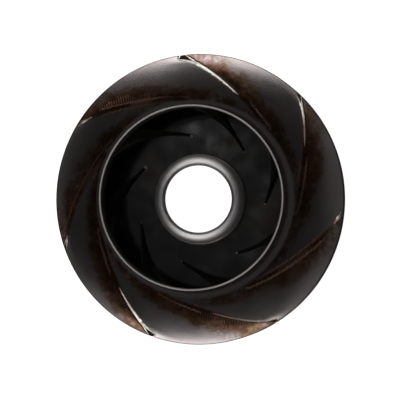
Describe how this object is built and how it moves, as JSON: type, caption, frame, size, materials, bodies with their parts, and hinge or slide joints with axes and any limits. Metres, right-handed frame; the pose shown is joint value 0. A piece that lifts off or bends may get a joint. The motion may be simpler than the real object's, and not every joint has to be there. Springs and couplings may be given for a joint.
{
  "type": "closed pump impeller",
  "caption": "Closed centrifugal pump impeller of welded stainless steel sheet: hollow conical front shroud with an eye neck, flat back shroud, backward-curved vanes, taper-bored hub.",
  "frame": {"origin": "on the shaft axis, in the plane of the hub's rear face, on which the impeller lies", "axes": "+Z along the shaft axis towards the inlet eye; +X is 96.5 degrees clockwise, seen from the eye, from where the first vane's line meets the rim"},
  "size_m": [0.145, 0.145, 0.0369],
  "materials": {
    "shroud_steel": "polished stainless steel, heat tinted along the welds",
    "plate_steel": "smooth stainless steel sheet",
    "vane_steel": "smooth stainless steel sheet, darker near the welds",
    "hub_steel": "bright turned stainless steel",
    "seam_steel": "rippled weld metal with straw and brown heat tint"
  },
  "bodies": {
    "root": {"front_shroud": "shroud_steel", "back_shroud": "plate_steel", "hub_collar": "hub_steel", "hub_weld_front": "seam_steel", "hub_weld_rear": "seam_steel", "vane_1": "vane_steel", "vane_2": "vane_steel", "vane_3": "vane_steel", "vane_4": "vane_steel", "vane_5": "vane_steel", "vane_6": "vane_steel", "vane_7": "vane_steel", "front_seam_1": "seam_steel", "front_seam_2": "seam_steel", "front_seam_3": "seam_steel", "front_seam_4": "seam_steel", "front_seam_5": "seam_steel", "front_seam_6": "seam_steel", "front_seam_7": "seam_steel", "back_seam_1": "seam_steel", "back_seam_2": "seam_steel", "back_seam_3": "seam_steel", "back_seam_4": "seam_steel", "back_seam_5": "seam_steel", "back_seam_6": "seam_steel", "back_seam_7": "seam_steel"}
  },
  "joints": []
}
